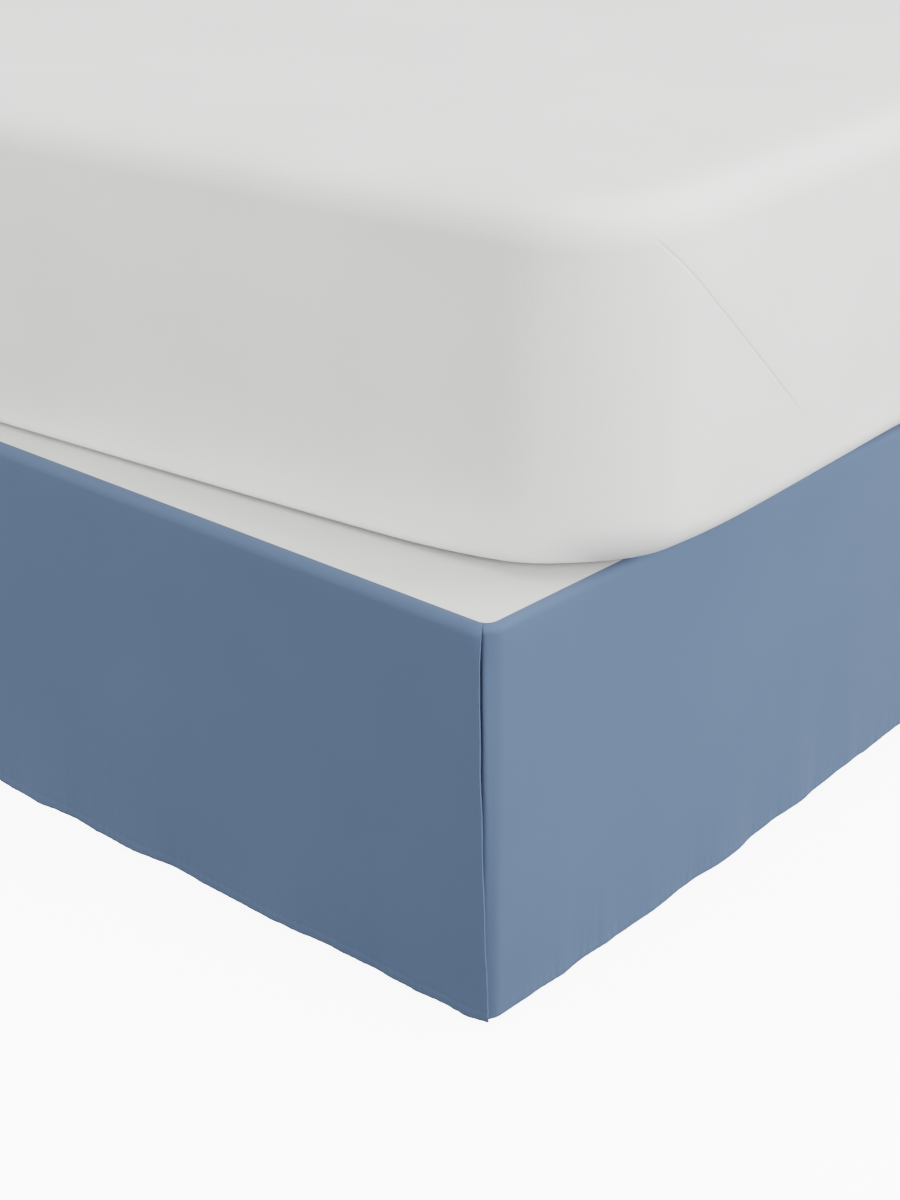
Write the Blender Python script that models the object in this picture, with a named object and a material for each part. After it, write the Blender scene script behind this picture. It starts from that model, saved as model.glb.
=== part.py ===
"""Tailored bed skirt on a plain bed.

The skirt is a white deck that lies on the box spring and three blue drops sewn to the deck's edge:
one across the foot and one down each side. The head end is open. The drops roll over the edge of the
box spring, hang straight and end in a softly waved hem just above the floor. Each foot corner is
split: the side drop turns the corner and is tucked behind the flat end of the foot drop.
Metres, +Z up. The floor is z = 0, the foot of the bed faces -Y and the head faces +Y.
"""

import math
from collections import namedtuple
from functools import partial

import bmesh
import bpy
from mathutils import Matrix, Vector

# Box spring and frame
BED_WIDTH = 1.524
BED_LENGTH = 2.032
BED_CORNER = 0.014
FRAME_TOP = 0.165
BOX_TOP = 0.3602
RAIL_WIDE = 0.030
RAIL_TALL = 0.035
RAIL_X = 0.715
RAIL_END = 0.930
CROSS_RAIL_Y = (-0.780, 0.0, 0.780)
LEG_RADIUS = 0.019
FOOT_RADIUS = 0.027
FOOT_TALL = 0.020

# Skirt
CLOTH = 0.0015
GAP = 0.0003
SEAM_GAP = 0.0004
DECK_TOP = BOX_TOP + GAP + CLOTH
HEM_Z = 0.006
SEAM_IN = 0.0035
SIDE_OUT = 0.0040
FOOT_OUT = 0.0065
COLUMN_STEP = 0.028
FALL_ROWS = (0.0, 0.14, 0.40, 0.68, 0.88, 1.0)
ROLL_ROWS = (0.0, 0.5)

# Split corner: the side drop is tucked behind, the foot drop rounds the corner at the seam only
TUCK = 0.030
TUCK_TOP = 0.018
SPLIT_DEG = 30.0
SPLIT_GAP_DEG = 0.6
SPLIT_FLAT_FROM = 0.006
SPLIT_FLAT_AT = 0.045
FLAT_END = -0.0042
END_LEAN = 0.0125
END_BEND = 1.7
FOOT_LIFT = 0.0012
END_LIFT = 0.0060
FOOT_TURNS = (0.25, 0.5, 0.75, 1.0)
SIDE_TURNS_DEG = (0.0, 10.0, 20.0, SPLIT_DEG, SPLIT_DEG + 1.6, 45.0, 60.0, 75.0)

# Mattress
MATTRESS_X = 0.7259
MATTRESS_Y = 0.9898
MATTRESS_CORNER = 0.110
LEAST_CORNER = 0.010
MATTRESS_TURN_DEG = 4.76
FOOT_CROWN = 0.0075
SIDE_CROWN = 0.0135
MATTRESS_SIDE_STEPS = 14

# Radius of the mattress's lower edge, largest at the corners, where the tucked sheet pulls it in
FOOT_EDGE = 0.012
SIDE_EDGE = 0.024
CORNER_EDGE = 0.050
EDGE_FADE = 0.100

WHITE = (0.640, 0.640, 0.630)
MATTRESS_WHITE = (0.680, 0.680, 0.670)
BLUE = (0.130, 0.185, 0.290)
TICKING = (0.560, 0.550, 0.520)
STEEL = (0.060, 0.062, 0.066)
FOOT_BLACK = (0.018, 0.018, 0.019)
CLOTH_ROUGHNESS = 0.88
STEEL_ROUGHNESS = 0.5
FOOT_ROUGHNESS = 0.6
SHARP_DEG = 35.0
EDGE = 0.003
ROUND_SIDES = 16

Level = namedtuple("Level", "rise inset")
Fold = namedtuple("Fold", "along half_width out lift")
FootColumn = namedtuple("FootColumn", "along turn")
SideColumn = namedtuple("SideColumn", "tuck turn_deg run")

# The sections of the padded blocks: rise above the underside, inset from the outline
BOX_LEVELS = [
    Level(0.0000, 0.0090),
    Level(0.0026, 0.0026),
    Level(0.0090, 0.0000),
    Level(0.1802, 0.0000),
    Level(0.1876, 0.0020),
    Level(0.1931, 0.0074),
    Level(0.1952, 0.0150),
]
MATTRESS_LEVELS = [
    Level(0.1500, -0.0030),
    Level(0.2350, -0.0016),
    Level(0.2700, 0.0000),
    Level(0.2830, 0.0042),
    Level(0.2930, 0.0120),
    Level(0.2990, 0.0235),
    Level(0.3020, 0.0400),
    Level(0.3032, 0.0700),
    Level(0.3040, 0.1600),
    Level(0.3046, 0.4000),
]
# The mattress's lower edge, as degrees of its quarter round
EDGE_TURNS_DEG = (90.0, 67.5, 45.0, 22.5, 0.0)

# Soft folds at the hem: place along the drop, half width, swing outwards and rise of the hem
FOOT_FOLDS = [
    Fold(-0.640, 0.050, -0.0020, 0.0000),
    Fold(-0.505, 0.040, 0.0025, 0.0010),
    Fold(-0.385, 0.045, -0.0020, 0.0000),
    Fold(-0.270, 0.040, 0.0030, 0.0010),
    Fold(-0.140, 0.045, -0.0015, 0.0000),
    Fold(-0.020, 0.040, 0.0030, 0.0010),
    Fold(0.095, 0.035, -0.0010, 0.0000),
    Fold(0.195, 0.040, 0.0035, 0.0000),
    Fold(0.260, 0.025, -0.0010, 0.0000),
    Fold(0.322, 0.035, 0.0030, 0.0000),
    Fold(0.402, 0.035, -0.0022, 0.0000),
    Fold(0.527, 0.035, 0.0016, 0.0000),
    Fold(0.615, 0.060, -0.0020, 0.0000),
]
SIDE_FOLDS = [
    Fold(0.060, 0.030, 0.0010, 0.0000),
    Fold(0.150, 0.040, -0.0010, 0.0000),
    Fold(0.250, 0.035, -0.0015, 0.0010),
    Fold(0.325, 0.026, 0.0036, 0.0000),
    Fold(0.390, 0.030, -0.0015, 0.0010),
    Fold(0.430, 0.024, 0.0024, 0.0000),
    Fold(0.520, 0.025, 0.0020, 0.0025),
    Fold(0.640, 0.040, -0.0015, 0.0000),
    Fold(0.775, 0.045, 0.0045, 0.0010),
    Fold(0.920, 0.050, -0.0020, 0.0000),
    Fold(1.080, 0.050, 0.0050, 0.0010),
    Fold(1.240, 0.050, -0.0020, 0.0000),
    Fold(1.400, 0.050, 0.0045, 0.0010),
    Fold(1.560, 0.050, -0.0020, 0.0000),
    Fold(1.720, 0.050, 0.0050, 0.0010),
    Fold(1.880, 0.045, -0.0010, 0.0000),
]

# Where the folds fade out towards the split corner, along the drop
FOOT_LOOSE_TO = 0.660
FOOT_HELD_FROM = 0.740
SIDE_LOOSE_FROM = 0.060

# The foot's hem bows outwards; a side's hem rises away from the foot and sinks again to the head
FOOT_BOW = 0.0110
SIDE_IN = 0.0025
SIDE_RISE = 0.0225
SIDE_RISE_FROM = 0.15
SIDE_RISE_TO = 0.66
SIDE_SINK_FROM = 0.80
SIDE_SINK_TO = 1.80
SIDE_RISE_KEPT = 0.40


def paint(obj, name, colour, roughness):
    """Gives an object a material of its own."""
    material = bpy.data.materials.new(name)
    material.use_nodes = True
    shader = material.node_tree.nodes["Principled BSDF"]
    shader.inputs["Base Color"].default_value = (*colour, 1.0)
    shader.inputs["Roughness"].default_value = roughness
    obj.data.materials.append(material)


def add_object(name, mesh_maker, location=(0.0, 0.0, 0.0), turn_deg=0.0):
    """Makes one object on the bed's own axes from a bmesh."""
    mesh = bpy.data.meshes.new(name)
    bmesh.ops.recalc_face_normals(mesh_maker, faces=mesh_maker.faces)
    mesh_maker.to_mesh(mesh)
    mesh_maker.free()
    mesh.shade_smooth()
    mesh.set_sharp_from_angle(angle=math.radians(SHARP_DEG))
    obj = bpy.data.objects.new(name, mesh)
    obj.location = location
    obj.rotation_euler = (0.0, 0.0, math.radians(turn_deg))
    obj.parent = bed
    bpy.context.scene.collection.objects.link(obj)
    return obj


def smooth_step(value, low, high):
    t = min(max((value - low) / (high - low), 0.0), 1.0)
    return t * t * (3.0 - 2.0 * t)


def outline(half_x, half_y, radius, crown_x=0.0, crown_y=0.0, arc_steps=8, side_steps=1):
    """Points round a rectangle with round corners whose sides may bow out by a crown."""
    points = []
    for quarter in range(4):
        turn = Matrix.Rotation(math.radians(90.0 * quarter), 2)
        across, along = (half_x, half_y) if quarter % 2 == 0 else (half_y, half_x)
        crown = crown_x if quarter % 2 == 0 else crown_y
        straight = along - radius
        for step in range(side_steps):
            t = -1.0 + 2.0 * step / side_steps
            bow = crown * (1.0 - t * t)
            points.append(turn @ Vector((across + bow, t * straight)))
        for step in range(arc_steps):
            angle = math.radians(90.0) * step / arc_steps
            reach = Vector((math.cos(angle), math.sin(angle))) * radius
            points.append(turn @ (Vector((across - radius, straight)) + reach))
    return points


def loft(rings):
    """Joins rings of equal length, given bottom first, and closes both ends."""
    maker = bmesh.new()
    loops = [[maker.verts.new(point) for point in ring] for ring in rings]
    count = len(loops[0])
    for lower, upper in zip(loops, loops[1:]):
        for i in range(count):
            j = (i + 1) % count
            maker.faces.new((lower[i], lower[j], upper[j], upper[i]))
    maker.faces.new(list(reversed(loops[0])))
    maker.faces.new(loops[-1])
    return maker


def sheet(columns, rows, place):
    """A closed cloth sheet: place(column, row, inward) gives a point of its face or of its back."""
    maker = bmesh.new()
    skins = []
    for inward in (0.0, CLOTH):
        skins.append([[maker.verts.new(place(c, r, inward)) for r in rows] for c in columns])
    face, back = skins
    last_column, last_row = len(columns) - 1, len(rows) - 1
    for i in range(last_column):
        for j in range(last_row):
            maker.faces.new((face[i][j], face[i][j + 1], face[i + 1][j + 1], face[i + 1][j]))
            maker.faces.new((back[i][j], back[i + 1][j], back[i + 1][j + 1], back[i][j + 1]))
    for i in range(last_column):
        for j in (0, last_row):
            maker.faces.new((face[i][j], face[i + 1][j], back[i + 1][j], back[i][j]))
    for j in range(last_row):
        for i in (0, last_column):
            maker.faces.new((face[i][j], back[i][j], back[i][j + 1], face[i][j + 1]))
    return maker


def fold_sum(folds, along, column):
    """Adds up one column of a fold table at a place along the drop."""
    total = 0.0
    for fold in folds:
        nearness = math.exp(-(((along - fold.along) / fold.half_width) ** 2))
        total += getattr(fold, column) * nearness
    return total


def drop_section(depth, inward, out, swing, lift):
    """Distance out from the box spring's face and height of a drop, at a depth along the cloth."""
    roll = out + SEAM_IN
    quarter = roll * math.pi / 2.0
    if depth < quarter:
        angle = depth / roll
        radius = roll - inward
        return out - roll + radius * math.sin(angle), DECK_TOP - roll + radius * math.cos(angle)
    fall = DECK_TOP - roll - HEM_Z
    share = min((depth - quarter) / fall, 1.0)
    u = out - inward + swing * share**2
    return u, DECK_TOP - roll - fall * share + lift * share**3


def drop_depths(out):
    """Depths of the rows of a drop: down the roll, then down the fall."""
    roll = out + SEAM_IN
    quarter = roll * math.pi / 2.0
    fall = DECK_TOP - roll - HEM_Z
    return [quarter * row for row in ROLL_ROWS] + [quarter + fall * row for row in FALL_ROWS]


def spread(start, end, step):
    """Evenly spaced places from start to end, both included."""
    count = max(1, round(abs(end - start) / step))
    return [start + (end - start) * i / count for i in range(count + 1)]


def foot_point(column, depth, inward):
    """The foot drop rounds the corner at the seam, hangs flat lower down and flares at its ends."""
    side = math.copysign(1.0, column.along)
    loose = 1.0 - smooth_step(abs(column.along), FOOT_LOOSE_TO, FOOT_HELD_FROM)
    bow = FOOT_BOW * (1.0 - (2.0 * column.along / BED_WIDTH) ** 2)
    swing = bow + loose * fold_sum(FOOT_FOLDS, column.along, "out")
    lift = loose * fold_sum(FOOT_FOLDS, column.along, "lift")
    lift += FOOT_LIFT + (END_LIFT - FOOT_LIFT) * column.turn
    u, z = drop_section(depth, inward, FOOT_OUT, swing, lift)
    reach = FLAT_END + END_LEAN * max((DECK_TOP - z) / (DECK_TOP - HEM_Z), 0.0) ** END_BEND
    flat = Vector((column.turn * (BED_CORNER + reach), -u))
    angle = math.radians(column.turn * (SPLIT_DEG - SPLIT_GAP_DEG))
    radius = BED_CORNER + u
    turned = Vector((radius * math.sin(angle), BED_CORNER - radius * math.cos(angle)))
    at = turned.lerp(flat, smooth_step(depth, SPLIT_FLAT_FROM, SPLIT_FLAT_AT))
    return Vector((column.along + side * at.x, at.y - BED_LENGTH / 2.0, z))


def make_foot_drop():
    straight_end = BED_WIDTH / 2.0 - BED_CORNER
    columns = [FootColumn(-straight_end, turn) for turn in reversed(FOOT_TURNS)]
    columns += [FootColumn(along, 0.0) for along in spread(-straight_end, straight_end, COLUMN_STEP)]
    columns += [FootColumn(straight_end, turn) for turn in FOOT_TURNS]
    drop = add_object("drop_foot", sheet(columns, drop_depths(FOOT_OUT), foot_point))
    paint(drop, "blue_foot_drop", BLUE, CLOTH_ROUGHNESS)


def side_point(side, column, depth, inward):
    """A side drop: a tucked return behind the foot drop, a quarter turn, then straight to the head."""
    if column.turn_deg <= SPLIT_DEG:
        full = drop_depths(SIDE_OUT)[-1]
        depth = TUCK_TOP + (full - TUCK_TOP) * depth / full
    loose = smooth_step(column.run, 0.0, SIDE_LOOSE_FROM)
    risen = smooth_step(column.run, SIDE_RISE_FROM, SIDE_RISE_TO)
    kept = 1.0 - (1.0 - SIDE_RISE_KEPT) * smooth_step(column.run, SIDE_SINK_FROM, SIDE_SINK_TO)
    swing = loose * fold_sum(SIDE_FOLDS, column.run, "out") - SIDE_IN * risen
    lift = loose * fold_sum(SIDE_FOLDS, column.run, "lift") + SIDE_RISE * risen * kept
    u, z = drop_section(depth, inward, SIDE_OUT, swing, lift)
    angle = math.radians(column.turn_deg)
    radius = BED_CORNER + u
    x = BED_WIDTH / 2.0 - BED_CORNER - column.tuck + radius * math.sin(angle)
    y = BED_CORNER - BED_LENGTH / 2.0 + column.run - radius * math.cos(angle)
    return Vector((side * x, y, z))


def make_side_drop(name, side):
    columns = [SideColumn(TUCK, 0.0, 0.0), SideColumn(TUCK / 2.0, 0.0, 0.0)]
    columns += [SideColumn(0.0, turn_deg, 0.0) for turn_deg in SIDE_TURNS_DEG]
    runs = spread(0.0, BED_LENGTH - BED_CORNER, COLUMN_STEP)
    columns += [SideColumn(0.0, 90.0, run) for run in runs]
    drop = add_object(name, sheet(columns, drop_depths(SIDE_OUT), partial(side_point, side)))
    paint(drop, "blue_" + name, BLUE, CLOTH_ROUGHNESS)


def make_deck():
    """The white deck lies flat and ends at the seam, with the corners of the box spring."""
    inset = SEAM_IN + SEAM_GAP
    ring = outline(BED_WIDTH / 2.0 - inset, BED_LENGTH / 2.0 - inset, BED_CORNER - inset)
    heights = (DECK_TOP - CLOTH, DECK_TOP)
    deck = add_object("deck", loft([[Vector((p.x, p.y, z)) for p in ring] for z in heights]))
    paint(deck, "white_deck", WHITE, CLOTH_ROUGHNESS)


def make_box_spring():
    rings = []
    for level in BOX_LEVELS:
        corner = max(BED_CORNER - 0.5 * level.inset, LEAST_CORNER)
        ring = outline(BED_WIDTH / 2.0 - level.inset, BED_LENGTH / 2.0 - level.inset, corner)
        rings.append([Vector((point.x, point.y, level.rise)) for point in ring])
    box_spring = add_object("box_spring", loft(rings), (0.0, 0.0, FRAME_TOP))
    paint(box_spring, "ticking", TICKING, CLOTH_ROUGHNESS)


def edge_radius(point, outward):
    """Radius of the mattress's lower edge at a point of its outline."""
    base = FOOT_EDGE + (SIDE_EDGE - FOOT_EDGE) * outward.x**2
    off_diagonal = abs(math.atan2(abs(outward.y), abs(outward.x)) - math.radians(45.0))
    straight_x = MATTRESS_X - MATTRESS_CORNER - abs(point.x)
    straight_y = MATTRESS_Y - MATTRESS_CORNER - abs(point.y)
    away = off_diagonal * MATTRESS_CORNER + max(straight_x, straight_y, 0.0)
    return base + (CORNER_EDGE - base) * math.exp(-((away / EDGE_FADE) ** 2))


def make_mattress():
    """The mattress in its white cover, turned a little on the deck, so that one corner overhangs."""

    def ring_at(inset):
        return outline(
            MATTRESS_X - inset,
            MATTRESS_Y - inset,
            max(MATTRESS_CORNER - inset, LEAST_CORNER),
            SIDE_CROWN,
            FOOT_CROWN,
            side_steps=MATTRESS_SIDE_STEPS,
        )

    widest = ring_at(0.0)
    outwards = [(point - inner).normalized() for point, inner in zip(widest, ring_at(CORNER_EDGE))]
    rings = []
    for turn_deg in EDGE_TURNS_DEG:
        ring = []
        for point, outward in zip(widest, outwards):
            radius = edge_radius(point, outward)
            at = point - outward * radius * (1.0 - math.cos(math.radians(turn_deg)))
            ring.append(at.to_3d() + Vector((0.0, 0.0, radius * (1.0 - math.sin(math.radians(turn_deg))))))
        rings.append(ring)
    for level in MATTRESS_LEVELS:
        rings.append([Vector((point.x, point.y, level.rise)) for point in ring_at(level.inset)])
    mattress = add_object("mattress", loft(rings), (0.0, 0.0, DECK_TOP + GAP), MATTRESS_TURN_DEG)
    paint(mattress, "mattress_cover", MATTRESS_WHITE, CLOTH_ROUGHNESS)


def box_maker(size_x, size_y, size_z):
    """A box with small bevelled edges, centred on its origin."""
    maker = bmesh.new()
    bmesh.ops.create_cube(maker, size=1.0)
    bmesh.ops.scale(maker, vec=(size_x, size_y, size_z), verts=maker.verts)
    bmesh.ops.bevel(maker, geom=maker.edges[:], offset=EDGE, segments=1, affect="EDGES")
    return maker


def round_maker(radius, levels):
    """A round bar or disc that stands on z = 0, turned from its levels."""
    angles = [2.0 * math.pi * i / ROUND_SIDES for i in range(ROUND_SIDES)]
    rings = []
    for level in levels:
        reach = radius - level.inset
        rings.append([Vector((reach * math.cos(a), reach * math.sin(a), level.rise)) for a in angles])
    return loft(rings)


def make_frame():
    """Two side rails, three cross rails between them and six legs on round feet, all of steel."""
    rail_z = FRAME_TOP - GAP - RAIL_TALL / 2.0
    leg_tall = FRAME_TOP - RAIL_TALL - FOOT_TALL - 3.0 * GAP
    leg_levels = (Level(0.0, 0.0), Level(leg_tall, 0.0))
    foot_levels = (Level(0.0, EDGE), Level(EDGE, 0.0), Level(FOOT_TALL - EDGE, 0.0), Level(FOOT_TALL, EDGE))
    for side, word in ((1.0, "right"), (-1.0, "left")):
        rail = box_maker(RAIL_WIDE, 2.0 * RAIL_END, RAIL_TALL)
        obj = add_object("side_rail_" + word, rail, (side * RAIL_X, 0.0, rail_z))
        paint(obj, "steel_rail_" + word, STEEL, STEEL_ROUGHNESS)
    for y, word in zip(CROSS_RAIL_Y, ("foot", "middle", "head")):
        length = 2.0 * (RAIL_X - RAIL_WIDE / 2.0 - GAP)
        rail = box_maker(length, RAIL_WIDE, RAIL_TALL)
        obj = add_object("cross_rail_" + word, rail, (0.0, y, rail_z))
        paint(obj, "steel_cross_rail_" + word, STEEL, STEEL_ROUGHNESS)
        for side, hand in ((1.0, "right"), (-1.0, "left")):
            name = word + "_" + hand
            leg = round_maker(LEG_RADIUS, leg_levels)
            obj = add_object("leg_" + name, leg, (side * RAIL_X, y, FOOT_TALL + GAP))
            paint(obj, "steel_leg_" + name, STEEL, STEEL_ROUGHNESS)
            foot = round_maker(FOOT_RADIUS, foot_levels)
            obj = add_object("foot_" + name, foot, (side * RAIL_X, y, 0.0))
            paint(obj, "plastic_foot_" + name, FOOT_BLACK, FOOT_ROUGHNESS)


for old in list(bpy.data.objects):
    bpy.data.objects.remove(old, do_unlink=True)

bed = bpy.data.objects.new("bed", None)
bpy.context.scene.collection.objects.link(bed)

make_deck()
make_foot_drop()
make_side_drop("drop_side_right", 1.0)
make_side_drop("drop_side_left", -1.0)
make_mattress()
make_box_spring()
make_frame()
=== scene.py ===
"""A tailored blue bed skirt on its bed, seen at one corner of the foot.

The sections follow the bed as it is put together: steel frame, box spring, the skirt's white deck,
its three blue drops, the mattress in its white sheet, then the floor, the lights and the camera.
Metres, +Z up. The foot of the bed faces -Y and +X is its right side, seen from the foot.
"""

import math

import bpy
from mathutils import Matrix, Vector, noise


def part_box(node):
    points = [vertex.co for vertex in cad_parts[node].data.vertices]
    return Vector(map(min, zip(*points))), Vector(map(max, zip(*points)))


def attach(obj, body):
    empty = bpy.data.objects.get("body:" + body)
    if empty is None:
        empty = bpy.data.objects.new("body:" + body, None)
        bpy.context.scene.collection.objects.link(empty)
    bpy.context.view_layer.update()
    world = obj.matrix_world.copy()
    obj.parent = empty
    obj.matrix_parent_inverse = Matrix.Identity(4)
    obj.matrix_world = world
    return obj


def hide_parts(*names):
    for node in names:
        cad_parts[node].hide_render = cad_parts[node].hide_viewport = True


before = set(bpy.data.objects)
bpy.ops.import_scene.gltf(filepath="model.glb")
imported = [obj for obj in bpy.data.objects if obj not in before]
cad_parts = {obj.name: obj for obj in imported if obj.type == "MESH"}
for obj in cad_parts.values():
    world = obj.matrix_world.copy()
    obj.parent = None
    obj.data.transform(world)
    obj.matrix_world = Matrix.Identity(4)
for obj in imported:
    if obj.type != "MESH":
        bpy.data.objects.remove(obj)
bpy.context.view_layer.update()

# Steel frame: rails of box-section tube and round legs, welded and bolted, with a dark powder coat
# baked on. The coat is a satin plastic film with a fine orange peel, so its highlights are soft.


def linear(code):
    """An sRGB hex colour as the linear colour that the shader takes."""
    channels = [int(code[i : i + 2], 16) / 255.0 for i in (1, 3, 5)]
    return (*(c / 12.92 if c <= 0.04045 else ((c + 0.055) / 1.055) ** 2.4 for c in channels), 1.0)


def add_node(tree, kind, inputs, **settings):
    """Adds a node with its settings; an input is a value, or a socket to link from."""
    added = tree.nodes.new(kind)
    for name, value in settings.items():
        setattr(added, name, value)
    for name, value in inputs.items():
        if isinstance(value, bpy.types.NodeSocket):
            tree.links.new(value, added.inputs[name])
        else:
            added.inputs[name].default_value = value
    return added


def new_material(name, **sockets):
    """A new material, its shader's own sockets set, and its shader and node tree."""
    material = bpy.data.materials.new(name)
    material.use_nodes = True
    tree = material.node_tree
    shader = tree.nodes["Principled BSDF"]
    for socket, value in sockets.items():
        shader.inputs[socket.replace("_", " ")].default_value = value
    return material, tree, shader


def powder_coat():
    """Dark satin powder coat: orange peel 2.5 mm across, a little uneven in gloss."""
    material, tree, shader = new_material("powder_coated_steel", IOR=1.5, Metallic=0.0)
    place = add_node(tree, "ShaderNodeTexCoord", {}).outputs["Object"]
    peel = add_node(tree, "ShaderNodeTexNoise", {"Vector": place, "Scale": 400.0, "Detail": 3.0})
    cloudy = add_node(tree, "ShaderNodeTexNoise", {"Vector": place, "Scale": 14.0, "Detail": 4.0})
    tone = add_node(tree, "ShaderNodeMix", {"Factor": cloudy.outputs["Fac"]}, data_type="RGBA")
    tone.inputs["A"].default_value = linear("#3b3d41")
    tone.inputs["B"].default_value = linear("#484a4e")
    gloss = add_node(
        tree,
        "ShaderNodeMapRange",
        {"Value": cloudy.outputs["Fac"], "To Min": 0.42, "To Max": 0.58},
    )
    bump = add_node(
        tree,
        "ShaderNodeBump",
        {"Height": peel.outputs["Fac"], "Strength": 0.35, "Distance": 0.0002},
    )
    tree.links.new(tone.outputs["Result"], shader.inputs["Base Color"])
    tree.links.new(gloss.outputs["Result"], shader.inputs["Roughness"])
    tree.links.new(bump.outputs["Normal"], shader.inputs["Normal"])
    return material


def moulded_plastic():
    """Black polypropylene feet, moulded with a fine spark texture and scuffed a little paler."""
    material, tree, shader = new_material("moulded_polypropylene", IOR=1.49)
    place = add_node(tree, "ShaderNodeTexCoord", {}).outputs["Object"]
    grain = add_node(tree, "ShaderNodeTexNoise", {"Vector": place, "Scale": 900.0, "Detail": 2.0})
    scuffs = add_node(tree, "ShaderNodeTexNoise", {"Vector": place, "Scale": 45.0, "Detail": 6.0})
    tone = add_node(tree, "ShaderNodeMix", {"Factor": scuffs.outputs["Fac"]}, data_type="RGBA")
    tone.inputs["A"].default_value = linear("#1c1c1d")
    tone.inputs["B"].default_value = linear("#303032")
    gloss = add_node(
        tree,
        "ShaderNodeMapRange",
        {"Value": scuffs.outputs["Fac"], "To Min": 0.5, "To Max": 0.75},
    )
    bump = add_node(
        tree,
        "ShaderNodeBump",
        {"Height": grain.outputs["Fac"], "Strength": 0.4, "Distance": 0.0001},
    )
    tree.links.new(tone.outputs["Result"], shader.inputs["Base Color"])
    tree.links.new(gloss.outputs["Result"], shader.inputs["Roughness"])
    tree.links.new(bump.outputs["Normal"], shader.inputs["Normal"])
    return material


def finish_frame():
    """Gives the rails, the legs and the feet their finish."""
    coat, plastic = powder_coat(), moulded_plastic()
    finishes = {"side_rail_": coat, "cross_rail_": coat, "leg_": coat, "foot_": plastic}
    for name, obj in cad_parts.items():
        for start, finish in finishes.items():
            if name.startswith(start):
                obj.data.materials.clear()
                obj.data.materials.append(finish)


finish_frame()

# Box spring: a timber and coil foundation covered in ticking, the usual striped cotton twill. Its top
# and bottom edges are bound with a folded tape, which is sewn round and stands a little proud.

SPRING_LOW, SPRING_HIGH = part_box("box_spring")
SPRING_CORNER = 0.014
LEAST_CORNER = 0.005
CORNER_STEPS = 12
TAPE_PROUD = 0.0005
STRIPE_STEP = 0.024
SPRING_SMOOTH_DEG = 32.0
# Its section: rise above the underside, inset from the outline
SPRING_LEVELS = [
    (0.0000, 0.2000),
    (0.0000, 0.0090),
    (0.0009, 0.0050),
    (0.0030, 0.0022),
    (0.0060, 0.0006),
    (0.0090, 0.0000),
    (0.0094, -TAPE_PROUD),
    (0.0300, -TAPE_PROUD),
    (0.0304, 0.0000),
    (0.0600, 0.0000),
    (0.1200, 0.0000),
    (0.1490, 0.0000),
    (0.1494, -TAPE_PROUD),
    (0.1750, -TAPE_PROUD),
    (0.1754, 0.0000),
    (0.1802, 0.0002),
    (0.1850, 0.0012),
    (0.1890, 0.0035),
    (0.1922, 0.0072),
    (0.1942, 0.0120),
    (0.1950, 0.0180),
    (0.1952, 0.0300),
    (0.1952, 0.3000),
]


def deselect():
    """Leaves nothing selected and no object active."""
    if bpy.context.object and bpy.context.object.mode != "OBJECT":
        bpy.ops.object.mode_set(mode="OBJECT")
    bpy.ops.object.select_all(action="DESELECT")
    bpy.context.view_layer.objects.active = None


def round_corners(half_x, half_y, radius):
    """Points round a rectangle with round corners, as seen from above."""
    points = []
    for quarter in range(4):
        across, along = (half_x, half_y) if quarter % 2 == 0 else (half_y, half_x)
        for step in range(CORNER_STEPS + 1):
            angle = math.radians(90.0 * step / CORNER_STEPS)
            reach = Vector((math.cos(angle), math.sin(angle))) * radius
            corner = Vector((across - radius, along - radius))
            points.append(Matrix.Rotation(math.radians(90.0 * quarter), 2) @ (corner + reach))
    return points


def stack_rings(name, rings):
    """A closed skin over rings of equal length, given from the bottom up."""
    count = len(rings[0])
    faces = [tuple(reversed(range(count)))]
    for row in range(len(rings) - 1):
        for i in range(count):
            a, b = row * count + i, row * count + (i + 1) % count
            faces.append((a, b, b + count, a + count))
    faces.append(tuple(range(len(rings) * count - count, len(rings) * count)))
    mesh = bpy.data.meshes.new(name)
    mesh.from_pydata([point for ring in rings for point in ring], [], faces)
    piece = bpy.data.objects.new(name, mesh)
    bpy.context.scene.collection.objects.link(piece)
    return piece


def ticking():
    """Cotton ticking: a 0.9 mm twill, drawn coarser than life, with fine grey stripes 24 mm apart."""
    material, tree, shader = new_material(
        "cotton_ticking", IOR=1.5, Roughness=0.92, Sheen_Weight=0.15, Sheen_Roughness=0.5
    )
    place = add_node(tree, "ShaderNodeTexCoord", {}).outputs["Object"]
    axes = add_node(tree, "ShaderNodeSeparateXYZ", {"Vector": place})
    across = add_node(
        tree, "ShaderNodeMath", {0: axes.outputs["X"], 1: axes.outputs["Y"]}, operation="ADD"
    )
    wave = add_node(
        tree,
        "ShaderNodeMath",
        {0: across.outputs[0], 1: 2.0 * math.pi / STRIPE_STEP},
        operation="MULTIPLY",
    )
    stripe = add_node(tree, "ShaderNodeMath", {0: wave.outputs[0]}, operation="SINE")
    sharp = add_node(
        tree,
        "ShaderNodeMapRange",
        {"Value": stripe.outputs[0], "From Min": 0.86, "From Max": 0.93},
    )
    tone = add_node(tree, "ShaderNodeMix", {"Factor": sharp.outputs["Result"]}, data_type="RGBA")
    tone.inputs["A"].default_value = linear("#d9d5cc")
    tone.inputs["B"].default_value = linear("#b3b2ae")
    twill = add_node(
        tree,
        "ShaderNodeTexWave",
        {"Vector": place, "Scale": 350.0, "Distortion": 0.6, "Detail": 1.0},
        bands_direction="DIAGONAL",
    )
    bump = add_node(
        tree,
        "ShaderNodeBump",
        {"Height": twill.outputs["Fac"], "Strength": 0.5, "Distance": 0.0002},
    )
    tree.links.new(tone.outputs["Result"], shader.inputs["Base Color"])
    tree.links.new(bump.outputs["Normal"], shader.inputs["Normal"])
    return material


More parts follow.
